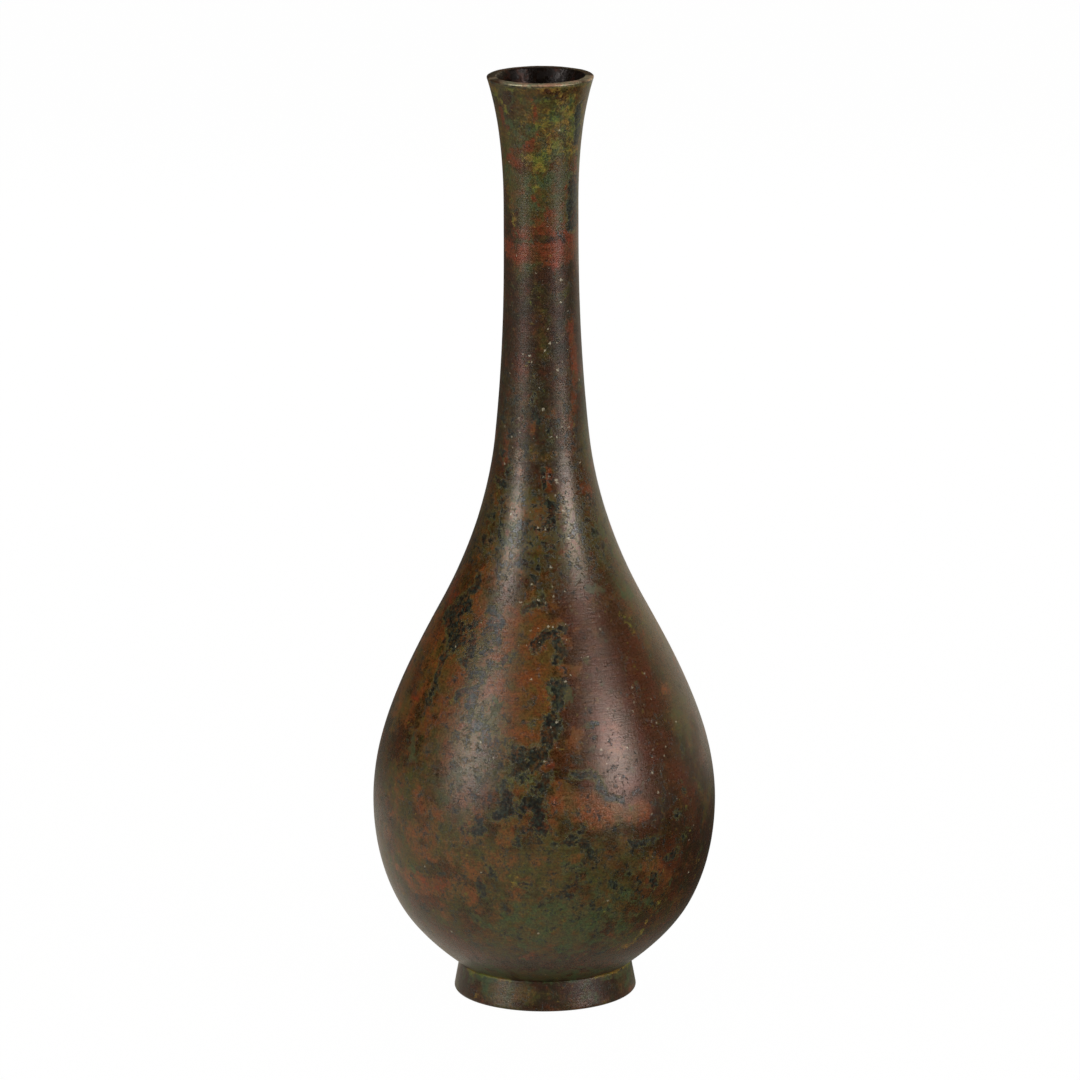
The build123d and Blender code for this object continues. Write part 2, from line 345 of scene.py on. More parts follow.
class BottleStudio(bpy.types.PropertyGroup):
    """Camera and light."""

    camera_distance: length("Camera Distance", "From the bottle's axis, along the floor", 2.3193)
    camera_height: length("Camera Height", "Above the floor", 0.7263)
    camera_pitch: angle("Camera Pitch", "How far the camera looks down", math.radians(13.978))
    camera_turn: angle("Camera Turn", "How far the camera aims left of the axis", math.radians(0.0222))
    camera_roll: angle("Camera Roll", "How far the bottle leans left in the picture", math.radians(0.316))
    lens: amount("Lens", "Focal length in millimetres", 248.8)
    left_power: power("Left Softbox", "Power of the softbox at the left", 9.0)
    right_power: power("Right Softbox", "Power of the softbox at the right", 9.3)
    top_power: power("Top Softbox", "Power of the softbox overhead", 4.5)
    back_power: power("Back Softbox", "Power of the softbox that fills the far side", 10.0)
    room_colour: shade("Room Colour", "Tint of the room's own light", (1.0, 0.86, 0.6))
    floor_colour: shade("Floor Colour", "Tint of the floor in reflections", (1.0, 0.92, 0.78))
    fill_level: amount("Fill Level", "Brightness of the room to matt surfaces", 0.4)
    front_level: amount("Front Level", "Brightness, in reflections, of the room in front", 0.02)
    back_level: amount("Back Level", "Brightness, in reflections, of the white backdrop", 0.88)
    backdrop_turn: angle("Backdrop Turn", "How far the backdrop is turned to the right", math.radians(37))
    floor_lift: amount("Floor Lift", "Share of plain white in the floor that the camera sees", 0.99)
    floor_shine: amount("Floor Shine", "Brightness, in reflections, of the floor", 0.62)
    sweep_front: length("Sweep Front", "How far the white floor reaches towards the camera", 0.3)
    sweep_fade: length("Sweep Fade", "Width of the white floor's soft front edge", 0.25)


def section_of(node_name):
    """Section of a CAD node along its seam, where y is 0 and x positive, from the top outwards."""
    bm = bmesh.new()
    bm.from_mesh(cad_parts[node_name].data)
    bmesh.ops.remove_doubles(bm, verts=bm.verts[:], dist=MERGE_DISTANCE)
    on_seam = {v for v in bm.verts if abs(v.co.y) < MERGE_DISTANCE and v.co.x > 0}
    seam = {e for e in bm.edges if on_seam.issuperset(e.verts)}
    here = max(on_seam, key=lambda v: (v.co.z, v.co.x))
    points = []
    while True:
        points.append(here.co.copy())
        ways = [e for e in here.link_edges if e in seam]
        if not ways:
            break
        step = max(ways, key=lambda e: e.other_vert(here).co.x)
        seam.discard(step)
        here = step.other_vert(here)
    bm.free()
    return points[:-1]


def tangents(points):
    """Direction of a closed section at each point, by its neighbours, or None at a corner."""
    found = []
    for before, here, after in zip(points[-1:] + points[:-1], points, points[1:] + points[:1]):
        coming, going = here - before, after - here
        short, long = sorted((coming, going), key=lambda side: side.length)
        if coming.angle(going) > CORNER_ANGLE:
            found.append(None)
        elif long.length > FLAT_RATIO * short.length:
            found.append(long.normalized())
        else:
            lean = coming.normalized() * going.length + going.normalized() * coming.length
            found.append(lean.normalized())
    return found


def smooth_section(points, down_spacing, up_spacing):
    """The section with its round stretches filled in, closer together where it runs down than up."""
    leans = tangents(points)
    ends = list(zip(points, leans))
    filled = []
    for (start, start_lean), (end, end_lean) in zip(ends, ends[1:] + ends[:1]):
        chord = end - start
        third = chord.length / 3
        straight = chord.normalized()
        spacing = down_spacing if chord.z < 0 else up_spacing
        count = max(1, math.ceil(chord.length / spacing))
        first_handle = start + (start_lean or straight) * third
        second_handle = end - (end_lean or straight) * third
        filled += interpolate_bezier(start, first_handle, second_handle, end, count + 1)[:-1]
    return filled


def spin_section(points, columns, closed=True):
    """A bmesh spun from a section by a part of a turn, then doubled. An open section ends on the axis."""
    bm = bmesh.new()
    corners = [bm.verts.new(p) for p in points]
    ring = corners[1:] + corners[:1] if closed else corners[1:]
    edges = [bm.edges.new(pair) for pair in zip(corners, ring)]
    turn = math.tau / 2 ** SPIN_DOUBLINGS
    bmesh.ops.spin(
        bm, geom=corners + edges, cent=(0, 0, 0), axis=(0, 0, 1), dvec=(0, 0, 0),
        angle=turn, steps=columns // 2 ** SPIN_DOUBLINGS, use_merge=False, use_duplicate=False)
    for _ in range(SPIN_DOUBLINGS):
        copy = bmesh.ops.duplicate(bm, geom=bm.verts[:] + bm.edges[:] + bm.faces[:])
        copied = [item for item in copy["geom"] if isinstance(item, bmesh.types.BMVert)]
        bmesh.ops.rotate(bm, verts=copied, cent=(0, 0, 0), matrix=Matrix.Rotation(turn, 3, "Z"))
        turn *= 2
    bmesh.ops.remove_doubles(bm, verts=bm.verts[:], dist=MERGE_DISTANCE)
    bmesh.ops.recalc_face_normals(bm, faces=bm.faces[:])
    return bm


def spin_node(node_name, down_spacing, up_spacing, columns):
    """A bmesh spun from the smoothed section of a CAD node."""
    return spin_section(smooth_section(section_of(node_name), down_spacing, up_spacing), columns)


def swell(bm, size, depth, keep):
    """Moves vertices along their normals by slow noise; keep(vertex) says by how much of the depth."""
    bm.normal_update()
    moves = []
    for vertex in bm.verts:
        share = keep(vertex)
        if share:
            height = depth * share
            moves.append((vertex, vertex.normal * height * noise.fractal(vertex.co / size, *SWELL_NOISE)))
    for vertex, move in moves:
        vertex.co += move


def finish_piece(bm, name, materials, node_name):
    """The bmesh as a smooth object that stands for a CAD node."""
    for face in bm.faces:
        face.smooth = True
    for edge in bm.edges:
        edge.smooth = edge.is_manifold and edge.calc_face_angle() < SHARP_ANGLE
    mesh = bpy.data.meshes.new(name)
    bm.to_mesh(mesh)
    bm.free()
    for material in materials:
        mesh.materials.append(material)
    piece = bpy.data.objects.new(name, mesh)
    bpy.context.scene.collection.objects.link(piece)
    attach(piece, "root")
    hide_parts(node_name)
    return piece


def paint(mesh):
    """Writes each layer's cover to the mesh, as a weight at every vertex."""
    places = np.empty(len(mesh.vertices) * 3)
    mesh.vertices.foreach_get("co", places)
    x, y, z = places.reshape(-1, 3).T / MILLIMETRE
    radius = np.hypot(x, y)
    sides = []
    for turn, rise in ((0, 0), (BACK_TURN, BACK_RISE)):
        bearing = np.remainder(np.degrees(np.arctan2(x, -y)) - turn + 180, 360) - 180
        fade = np.clip((SIDE_FADE_END - np.abs(bearing)) / (SIDE_FADE_END - SIDE_FADE_START), 0, 1)
        sides.append((bearing, z - rise, fade))
    for layer, base in BASE_COVER.items():
        peak = np.zeros(len(z))
        for bearing, up, fade in sides:
            for centre, height, half_width, half_height, strength in BLOTCHES.get(layer, ()):
                across = radius * np.radians(bearing - centre)
                reach = (across / half_width) ** 2 + ((up - height) / half_height) ** 2
                peak = np.maximum(peak, strength / PERCENT * fade * np.exp2(-reach ** EDGE_POWER))
            for half_width, strength, *path in STREAKS.get(layer, ()):
                points = list(zip(path[::2], path[1::2]))
                for (start, low), (end, high) in zip(points, points[1:] or points):
                    across, rise = radius * np.radians(bearing - start), up - low
                    run, climb = radius * np.radians(end - start), high - low
                    along = (across * run + rise * climb) / np.maximum(run ** 2 + climb ** 2, SMALL)
                    along = np.clip(along, 0, 1)
                    reach = ((across - along * run) ** 2 + (rise - along * climb) ** 2) / half_width ** 2
                    peak = np.maximum(peak, strength / PERCENT * fade * np.exp2(-reach))
        cover = base + (1 - base) * peak
        if layer != "rubbed":
            cover[z > LIP_TOP] = LIP_COVER.get(layer, 0)
        weights = mesh.attributes.new(layer, "FLOAT", "POINT")
        weights.data.foreach_set("value", cover.astype(np.float32))


def feed(tree, socket, value):
    """Links a socket to another one, or sets it to a value; a colour is made opaque."""
    if isinstance(value, bpy.types.NodeSocket):
        tree.links.new(value, socket)
    else:
        socket.default_value = (*value, 1.0) if socket.type == "RGBA" else value


def add(tree, kind, inputs=None, **settings):
    """A shader node with its settings, and each input linked to a socket or set to a value."""
    node = tree.nodes.new(kind)
    for key, value in settings.items():
        setattr(node, key, value)
    for key, value in (inputs or {}).items():
        feed(tree, node.inputs[key], value)
    return node


def calculate(tree, operation, first, second=0.0, third=0.0):
    """Output of a Math node."""
    node = add(tree, "ShaderNodeMath", {0: first, 1: second, 2: third}, operation=operation)
    return node.outputs[0]


def ramp(tree, value, low, high, start=0.0, end=1.0):
    """A smooth step from start to end as value goes from low to high."""
    node = add(
        tree, "ShaderNodeMapRange",
        {"Value": value, "From Min": low, "From Max": high, "To Min": start, "To Max": end},
        interpolation_type="SMOOTHSTEP")
    return node.outputs["Result"]


def mix_colour(tree, share, under, over, blend="MIX"):
    """Colour between two others."""
    inputs = dict(zip(MIX_COLOURS, (share, under, over)))
    node = add(tree, "ShaderNodeMix", inputs, data_type="RGBA", blend_type=blend)
    return node.outputs[MIX_COLOUR_RESULT]


def mix_value(tree, share, under, over):
    """Value between two others."""
    inputs = dict(zip(MIX_VALUES, (share, under, over)))
    return add(tree, "ShaderNodeMix", inputs, data_type="FLOAT").outputs[0]


def vector_math(tree, operation, first, second, third=(0.0, 0.0, 0.0)):
    """Vector from a Vector Math node."""
    node = add(tree, "ShaderNodeVectorMath", {0: first, 1: second, 2: third}, operation=operation)
    return node.outputs[0]


def cloud(tree, position, scale, detail, roughness, warp=0.0):
    """A cloudy value round 0.5."""
    node = add(
        tree, "ShaderNodeTexNoise",
        {"Vector": position, "Scale": scale, "Detail": detail, "Roughness": roughness, "Distortion": warp})
    return node.outputs["Fac"]


def cloud_ramp(tree, position, scale, detail, roughness, **steps):
    """A cloud, stretched by a ramp."""
    return ramp(tree, cloud(tree, position, scale, detail, roughness), **steps)


def new_group(name, inputs, outputs):
    """A shader node group and its input sockets by name."""
    tree = bpy.data.node_groups.new(name, "ShaderNodeTree")
    for title in inputs:
        kind = "NodeSocketVector" if title in ("Position", "Shift") else "NodeSocketFloat"
        tree.interface.new_socket(title, in_out="INPUT", socket_type=kind)
    for title in outputs:
        tree.interface.new_socket(title, in_out="OUTPUT", socket_type="NodeSocketFloat")
    return tree, tree.nodes.new("NodeGroupInput").outputs


def ragged_patch_group():
    """Breaks a soft cover up into patches with ragged edges, and marks a rim just outside them."""
    tree, given = new_group(
        "ragged_patch",
        ("Position", "Shift", "Cover", "Scale", "Roughness", "Warp", "Spread", "Edge", "Rim Width"),
        ("Mask", "Rim"))
    moved = vector_math(tree, "ADD", given["Position"], given["Shift"])
    lumps = cloud(tree, moved, given["Scale"], PATCH_DETAIL, given["Roughness"], given["Warp"])
    centred = calculate(tree, "SUBTRACT", lumps, HALF)
    height = calculate(tree, "MULTIPLY_ADD", centred, given["Spread"], given["Cover"])
    low = calculate(tree, "SUBTRACT", HALF, given["Edge"])
    high = calculate(tree, "ADD", HALF, given["Edge"])
    mask = ramp(tree, height, low, high)
    rim_low = calculate(tree, "SUBTRACT", low, given["Rim Width"])
    around = ramp(tree, height, rim_low, low)
    outside = calculate(tree, "SUBTRACT", 1.0, mask)
    rim = calculate(tree, "MULTIPLY", around, outside)
    add(tree, "NodeGroupOutput", {"Mask": mask, "Rim": rim})
    return tree


def grains_group():
    """Scattered small grains or pits: a share of the cells of a pattern each hold one, of uneven shape."""
    tree, given = new_group("grains", ("Position", "Scale", "Size", "Share"), ("Mask",))
    wobble = add(tree, "ShaderNodeTexNoise", {"Vector": given["Position"], **WOBBLE_NOISE})
    centred = vector_math(tree, "SUBTRACT", wobble.outputs["Color"], (HALF, HALF, HALF))
    moved = vector_math(tree, "MULTIPLY_ADD", centred, WOBBLE_DEPTH, given["Position"])
    cells = add(tree, "ShaderNodeTexVoronoi", {"Vector": moved, "Scale": given["Scale"]})
    chance = add(tree, "ShaderNodeSeparateColor", {0: cells.outputs["Color"]})
    chosen = calculate(tree, "LESS_THAN", chance.outputs[0], given["Share"])
    grown = calculate(tree, "MULTIPLY_ADD", chance.outputs[1], GRAIN_VARIES, GRAIN_LEAST)
    size = calculate(tree, "MULTIPLY", given["Size"], grown)
    core = calculate(tree, "MULTIPLY", size, GRAIN_CORE)
    dot = ramp(tree, cells.outputs["Distance"], core, size, 1.0, 0.0)
    add(tree, "NodeGroupOutput", {"Mask": calculate(tree, "MULTIPLY", chosen, dot)})
    return tree


def turning_group():
    """Fine marks that run round the bottle, as a height from 0 to 1."""
    tree, given = new_group("turning_marks", ("Position", "Scale"), ("Height",))
    flat = vector_math(tree, "MULTIPLY", given["Position"], MARK_SQUASH)
    lines = cloud(tree, flat, given["Scale"], MARK_DETAIL, MARK_ROUGHNESS)
    add(tree, "NodeGroupOutput", {"Height": lines})
    return tree


def use_group(tree, maker, name, **inputs):
    """Outputs of a group, built when first asked for; input names have underscores for spaces."""
    given = {title.replace("_", " "): value for title, value in inputs.items()}
    group = bpy.data.node_groups.get(name) or maker()
    return add(tree, "ShaderNodeGroup", given, node_tree=group).outputs


def new_material(name):
    """A node material and its tree, Principled node and object position."""
    material = bpy.data.materials.new(name)
    material.use_nodes = True
    tree = material.node_tree
    surface = tree.nodes["Principled BSDF"]
    position = tree.nodes.new("ShaderNodeTexCoord").outputs["Object"]
    return material, tree, surface, position


def dress(tree, surface, colour, metal, rough, relief, bump_strength, bump_height):
    """Feeds a Principled node with its colour, metal share and roughness, and a bump from a relief."""
    bump = add(
        tree, "ShaderNodeBump", {"Height": relief, "Strength": bump_strength, "Distance": bump_height})
    feed(tree, surface.inputs["Base Color"], colour)
    feed(tree, surface.inputs["Metallic"], metal)
    feed(tree, surface.inputs["Roughness"], rough)
    feed(tree, surface.inputs["Normal"], bump.outputs["Normal"])


# How each painted layer looks, from the bottom up: pattern scale, its roughness and warp, spread and
# softness of the edges, strength, metal share and surface roughness.
LAYERS = (
    ("umber", 60.0, 0.64, 0.1, 2.4, 0.25, 0.95, 0.2, 0.42),
    ("olive", 75.0, 0.68, 0.1, 3.6, 0.3, 0.8, 0.06, 0.36),
    ("mauve", 60.0, 0.6, 0.1, 1.6, 0.34, 0.92, 0.3, 0.28),
    ("copper", 130.0, 0.68, 0.15, 3.4, 0.2, 0.85, 0.08, 0.32),
    ("rose", 70.0, 0.58, 0.1, 1.7, 0.34, 0.9, 0.28, 0.28),
    ("maroon", 90.0, 0.58, 0.15, 2.2, 0.4, 0.9, 0.25, 0.3),
    ("red", 150.0, 0.7, 0.2, 3.6, 0.26, 0.85, 0.2, 0.33),
    ("verdigris", 280.0, 0.72, 0.2, 4.2, 0.24, 0.85, 0.04, 0.42),
    ("ochre", 460.0, 0.74, 0.2, 4.8, 0.18, 0.85, 0.04, 0.42),
    # The lip's bare metal, made light so that it also serves as a painted highlight.
    ("rubbed", 200.0, 0.6, 0.0, 1.2, 0.3, 0.92, 0.5, 0.04),
)
# Metal share and roughness of the skin below the layers
BASE_METAL = 0.2
BASE_ROUGHNESS = 0.28
# Shift of hue between warm and green, at about the same lightness
WARM_TINT = (1.32, 0.88, 0.65)
GREEN_TINT = (0.72, 1.1, 0.82)
# Shift of the pattern from one layer to the next, so that no two are alike
LAYER_SHIFT = 3.7
# Share of the film, the copper spots, the pits and the pale grains in the colour where they lie
FILM_SHARE = 0.22
SPOT_SHARE = 0.3
PIT_SHARE = 0.9
SPECK_SHARE = 0.8
# Chance of a pale grain where grit is painted in full
SPECK_CHANCE = 0.9
# Share of the turning marks in the light and dark of the skin
MARK_SHARE = 0.22
# How the painted soot turns into crust and into flecks
CRUST_GAIN = 1.15
CRUST_METAL = 0.0
CRUST_ROUGHNESS = 0.34
CRUST_RIM = 0.45
FLECK_GAIN = 0.75
FLECK_BASE = -0.08
# Change of roughness where the skin is polished
POLISH_GAIN = -0.17
# Height of the marks, the crust and the pits in the bump, where the skin's height is 1
MARK_RELIEF = 0.55
CRUST_RELIEF = -0.25
PIT_RELIEF = -0.7
# Shine of the skin and the bore, and share of metal in the bore, the plate and the solder
PATINA_SPECULAR = 0.45
BORE_SPECULAR = 0.25
BORE_METAL = 0.4
PLATE_METAL = 0.4
SOLDER_METAL = 0.8


def patina_material(name, palette):
    """Waxed bronze with the painted layers, a ragged dark crust, flecks, pits, pale grains and fine marks."""
    material, tree, surface, position = new_material(name)

    def weight(layer):
        return add(tree, "ShaderNodeAttribute", attribute_name=layer).outputs["Fac"]

    def patch(shift, cover, scale, roughness, warp, spread, edge, rim=PATCH_RIM):
        return use_group(
            tree, ragged_patch_group, "ragged_patch", Position=position, Shift=(shift, 0.0, 0.0), Cover=cover,
            Scale=scale, Roughness=roughness, Warp=warp, Spread=spread, Edge=edge, Rim_Width=rim)

    def grains(scale, size, chance):
        return use_group(
            tree, grains_group, "grains", Position=position, Scale=scale, Size=size, Share=chance)["Mask"]

    def times(value, factor):
        return calculate(tree, "MULTIPLY", value, factor)

    def plus(value, factor, base):
        return calculate(tree, "MULTIPLY_ADD", value, factor, base)

    broad = cloud_ramp(tree, position, scale=45.0, detail=6.0, roughness=0.65, low=0.36, high=0.64)
    colour = mix_colour(tree, broad, palette.umber, palette.brown)
    metal, rough = BASE_METAL, BASE_ROUGHNESS
    for index, (layer, *pattern, strength, layer_metal, layer_rough) in enumerate(LAYERS):
        share = times(patch(LAYER_SHIFT * index, weight(layer), *pattern)["Mask"], strength)
        colour = mix_colour(tree, share, colour, getattr(palette, layer))
        metal = mix_value(tree, share, metal, layer_metal)
        rough = mix_value(tree, share, rough, layer_rough)

    # Thin cloudy film over the smooth metal
    film = patch(shift=11.0, cover=0.44, scale=120.0, roughness=0.7, warp=0.1, spread=3.0, edge=0.3)
    colour = mix_colour(tree, times(film["Mask"], FILM_SHARE), colour, palette.film)

    # Small spots of bare copper through it
    spots = patch(shift=13.0, cover=0.12, scale=260.0, roughness=0.7, warp=0.1, spread=4.0, edge=0.2)
    colour = mix_colour(tree, times(spots["Mask"], SPOT_SHARE), colour, palette.copper)

    # Drift of hue over everything, from redder to greener, calmer on the bare patches
    bare = calculate(tree, "MAXIMUM", weight("mauve"), weight("maroon"))
    calm = ramp(tree, bare, low=0.2, high=0.8, end=0.6)
    drift = cloud_ramp(tree, position, scale=170.0, detail=9.0, roughness=0.74, low=0.37, high=0.63)
    tint = mix_colour(tree, mix_value(tree, calm, drift, HALF), WARM_TINT, GREEN_TINT)
    colour = mix_colour(tree, 1.0, colour, tint, "MULTIPLY")

    # Light and dark over everything, fine, and a little drawn out round the bottle
    marks = use_group(tree, turning_group, "turning_marks", Position=position, Scale=MARK_SCALE)["Height"]
    skin = cloud(tree, position, scale=1400.0, detail=4.0, roughness=0.75)
    grainy = ramp(tree, mix_value(tree, MARK_SHARE, skin, marks), low=0.4, high=0.6, start=0.6, end=1.25)
    lined = ramp(tree, marks, low=0.4, high=0.6, start=0.75, end=1.15)
    tone = mix_value(tree, calm, grainy, lined)
    tone_colour = add(tree, "ShaderNodeCombineColor", {0: tone, 1: tone, 2: tone}).outputs[0]
    colour = mix_colour(tree, 1.0, colour, tone_colour, "MULTIPLY")

    # Dark crust with a green fringe, drawn out into veins, and small flecks of it all round
    soot = weight("soot")
    winding = patch(shift=19.0, cover=HALF, scale=60.0, roughness=0.6, warp=0.8, spread=2.0, edge=0.5)
    off_line = calculate(tree, "ABSOLUTE", calculate(tree, "SUBTRACT", winding["Mask"], HALF))
    vein = times(ramp(tree, off_line, low=0.0, high=0.14, start=1.0, end=0.0), soot)
    crust = patch(
        shift=29.0, cover=plus(soot, CRUST_GAIN, vein), scale=330.0, roughness=0.8, warp=0.15, spread=5.6,
        edge=0.12, rim=CRUST_RIM)
    fringe = times(crust["Rim"], ramp(tree, soot, low=0.05, high=0.35, end=0.85))
    colour = mix_colour(tree, fringe, colour, palette.fringe)
    fleck = patch(
        shift=37.0, cover=plus(soot, FLECK_GAIN, FLECK_BASE), scale=900.0, roughness=0.75, warp=0.0,
        spread=4.4, edge=0.12)
    dark = calculate(tree, "MAXIMUM", crust["Mask"], fleck["Mask"])
    grain = cloud_ramp(tree, position, scale=900.0, detail=6.0, roughness=0.75, low=0.44, high=0.62)
    worn = cloud_ramp(
        tree, position, scale=620.0, detail=7.0, roughness=0.78, low=0.46, high=0.6, start=1.0, end=0.3)
    share = times(dark, worn)
    colour = mix_colour(tree, share, colour, mix_colour(tree, grain, palette.soot, palette.teal))
    metal = mix_value(tree, share, metal, CRUST_METAL)
    rough = mix_value(tree, share, rough, CRUST_ROUGHNESS)

    # Pits and pale grains
    pits = grains(scale=620.0, size=0.2, chance=0.3)
    colour = mix_colour(tree, times(pits, PIT_SHARE), colour, palette.pit)
    specks = grains(scale=500.0, size=0.24, chance=times(weight("grit"), SPECK_CHANCE))
    colour = mix_colour(tree, times(specks, SPECK_SHARE), colour, palette.speck)

    rough = calculate(tree, "ADD", rough, ramp(tree, skin, low=0.35, high=0.65, start=-0.04, end=0.04))
    rough = plus(weight("polish"), POLISH_GAIN, rough)
    relief = plus(pits, PIT_RELIEF, plus(dark, CRUST_RELIEF, plus(marks, MARK_RELIEF, skin)))
    dress(tree, surface, colour, metal, rough, relief, bump_strength=0.7, bump_height=0.0001)
    surface.inputs["Specular IOR Level"].default_value = PATINA_SPECULAR
    return material


def bore_material(palette):
    """Glossy inside of the neck, nearly black with painted shade, with a few rusty and green spots."""
    material, tree, surface, position = new_material("bore_bronze")
    rust = cloud_ramp(tree, position, scale=260.0, detail=5.0, roughness=0.7, low=0.52, high=0.62, end=0.4)
    colour = mix_colour(tree, rust, palette.bore, palette.maroon)
    green = cloud_ramp(tree, position, scale=190.0, detail=4.0, roughness=0.6, low=0.6, high=0.72, end=0.6)
    colour = mix_colour(tree, green, colour, palette.olive)
    rough = cloud_ramp(
        tree, position, scale=330.0, detail=5.0, roughness=0.7, low=0.4, high=0.6, start=0.18, end=0.5)
    skin = cloud(tree, position, scale=900.0, detail=4.0, roughness=0.65)
    dress(tree, surface, colour, BORE_METAL, rough, skin, bump_strength=0.8, bump_height=0.0002)
    surface.inputs["Specular IOR Level"].default_value = BORE_SPECULAR
    return material


def plate_material(palette):
    """Dull turned plate, dark with olive and green in its low places."""
    material, tree, surface, position = new_material("plate_bronze")
    broad = cloud_ramp(tree, position, scale=90.0, detail=6.0, roughness=0.6, low=0.38, high=0.62)
    colour = mix_colour(tree, broad, palette.umber, palette.olive)
    green = cloud_ramp(tree, position, scale=230.0, detail=6.0, roughness=0.65, low=0.55, high=0.66, end=0.5)
    colour = mix_colour(tree, green, colour, palette.verdigris)
    skin = cloud(tree, position, scale=1200.0, detail=4.0, roughness=0.65)
    rough = ramp(tree, skin, low=0.3, high=0.7, start=0.45, end=0.65)
    dress(tree, surface, colour, PLATE_METAL, rough, skin, bump_strength=0.4, bump_height=0.00015)
    return material


def solder_material(palette):
    """Dull grey soft solder, darker in its hollows."""
    material, tree, surface, position = new_material("soft_solder")
    stain = cloud_ramp(tree, position, scale=160.0, detail=6.0, roughness=0.65, low=0.38, high=0.62)
    colour = mix_colour(tree, stain, palette.umber, palette.solder)
    rough = ramp(tree, stain, low=0.0, high=1.0, start=0.6, end=0.42)
    skin = cloud(tree, position, scale=1500.0, detail=3.0, roughness=0.6)
    dress(tree, surface, colour, SOLDER_METAL, rough, skin, bump_strength=0.4, bump_height=0.0001)
    return material


class BOTTLE_OT_body(bpy.types.Operator):
    """Spin the casting from the section of its solid, and paint its patina"""

    bl_idname = "bottle.body"
    bl_label = "Body Casting"

    def execute(self, context):
        shape, palette = context.scene.bottle_shape, context.scene.bottle_patina
        low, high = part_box("body_casting")
        bm = spin_node("body_casting", shape.row_spacing, shape.bore_row_spacing, shape.columns)

        def outside(vertex):
            outward = Vector((vertex.co.x, vertex.co.y, 0)).normalized().dot(vertex.normal)
            clear_of_seat = (vertex.co.z - low.z) / SEAT_FADE - 1
            return max(0, min(1, clear_of_seat)) * max(0, outward)

        def on_lip(vertex):
            return LIP_WEAR if vertex.co.z > high.z - LIP_ZONE else 0

        swell(bm, shape.swell_size, shape.swell_depth, outside)
        swell(bm, shape.swell_size / DENT_RATIO, shape.edge_wear, on_lip)
        for face in bm.faces:
            middle = face.calc_center_median()
            if face.normal.dot(Vector((middle.x, middle.y, 0))) < BORE_LEAN * middle.xy.length:
                face.material_index = 1
        materials = (patina_material("patinated_bronze", palette), bore_material(palette))
        piece = finish_piece(bm, "bottle_body", materials, "body_casting")
        paint(piece.data)
        return {"FINISHED"}


class BOTTLE_OT_foot(bpy.types.Operator):
    """Spin the foot ring from the section of its solid, and paint its patina"""

    bl_idname = "bottle.foot"
    bl_label = "Foot Ring"

    def execute(self, context):
        shape, palette = context.scene.bottle_shape, context.scene.bottle_patina
        spacing = shape.row_spacing / FOOT_FINENESS
        bm = spin_node("foot_ring", spacing, shape.row_spacing, shape.columns)
        materials = (patina_material("foot_bronze", palette),)
        piece = finish_piece(bm, "bottle_foot", materials, "foot_ring")
        paint(piece.data)
        return {"FINISHED"}


class BOTTLE_OT_plate(bpy.types.Operator):
    """Turn the base plate, with the tool's rings on its underside"""

    bl_idname = "bottle.plate"
    bl_label = "Base Plate"

    def execute(self, context):
        shape, palette = context.scene.bottle_shape, context.scene.bottle_patina
        low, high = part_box("base_plate")
        edge = section_of("base_plate")
        count = int(edge[-1].x / RING_STEP)
        underside = [
            Vector((edge[-1].x * (1 - i / count), 0, low.z + RING_DEPTH * (i % 2)))
            for i in range(1, count + 1)]
        section = [Vector((0, 0, high.z))] + edge + underside
        bm = spin_section(section, shape.columns // 2, closed=False)
        finish_piece(bm, "bottle_plate", (plate_material(palette),), "base_plate")
        return {"FINISHED"}


class BOTTLE_OT_solder(bpy.types.Operator):
    """Spin the two rings of solder and make their beads lumpy"""

    bl_idname = "bottle.solder"
    bl_label = "Solder Rings"

    def execute(self, context):
        shape, palette = context.scene.bottle_shape, context.scene.bottle_patina
        material = solder_material(palette)

        def on_bead(vertex):
            return 1 if vertex.normal.z < BEAD_LEAN else 0

        spacing = shape.row_spacing / SOLDER_FINENESS
        for node_name in ("foot_solder", "plate_solder"):
            bm = spin_node(node_name, spacing, shape.row_spacing, shape.columns)
            swell(bm, shape.swell_size / LUMP_RATIO, shape.solder_lumps, on_bead)
            finish_piece(bm, "bottle_" + node_name, (material,), node_name)
        return {"FINISHED"}


# Stage, in metres: each softbox's place, width and height, and whether the metal glints with it
SOFTBOXES = {
    "left": ((-0.98, -0.74, 0.5), 0.42, 0.8, True),
    "right": ((0.98, -0.74, 0.43), 0.42, 0.68, True),
    "top": ((0, 0.1, 1.7), 1.4, 1.4, True),
    "back": ((0, 1.2, 0.7), 1.2, 1.0, False),
}
SOFTBOX_AIM = (0, 0, 0.12)
FLOOR_RADIUS = 6.0
FLOOR_SEGMENTS = 96
FLOOR_GREY = (0.8, 0.8, 0.8)
WHITE = (1.0, 1.0, 1.0)
# Width of the camera's sensor in millimetres, and how far the camera sees in metres
SENSOR_WIDTH = 36.0
CLIP_END = 20.0


def softbox(name, place, width, height, glints, power):
    """A rectangular area lamp that the camera doesn't see, nor the metal unless it is to glint there."""
    lamp = bpy.data.lights.new(name, "AREA")
    lamp.shape = "RECTANGLE"
    lamp.size, lamp.size_y = width, height
    lamp.energy = power
    holder = bpy.data.objects.new(name, lamp)
    holder.location = place
    holder.rotation_euler = (Vector(SOFTBOX_AIM) - Vector(place)).to_track_quat("-Z", "Y").to_euler()
    holder.visible_camera = False
    holder.visible_glossy = glints
    bpy.context.scene.collection.objects.link(holder)


def empty_tree(owner):
    """The cleared node tree of a material or a world, and the outputs of a light path node in it."""
    owner.use_nodes = True
    owner.node_tree.nodes.clear()
    return owner.node_tree, owner.node_tree.nodes.new("ShaderNodeLightPath").outputs


def seen_by_camera(tree, path):
    """1 on a ray from the camera, also through something clear."""
    return calculate(tree, "MAXIMUM", path["Is Camera Ray"], path["Is Transmission Ray"])


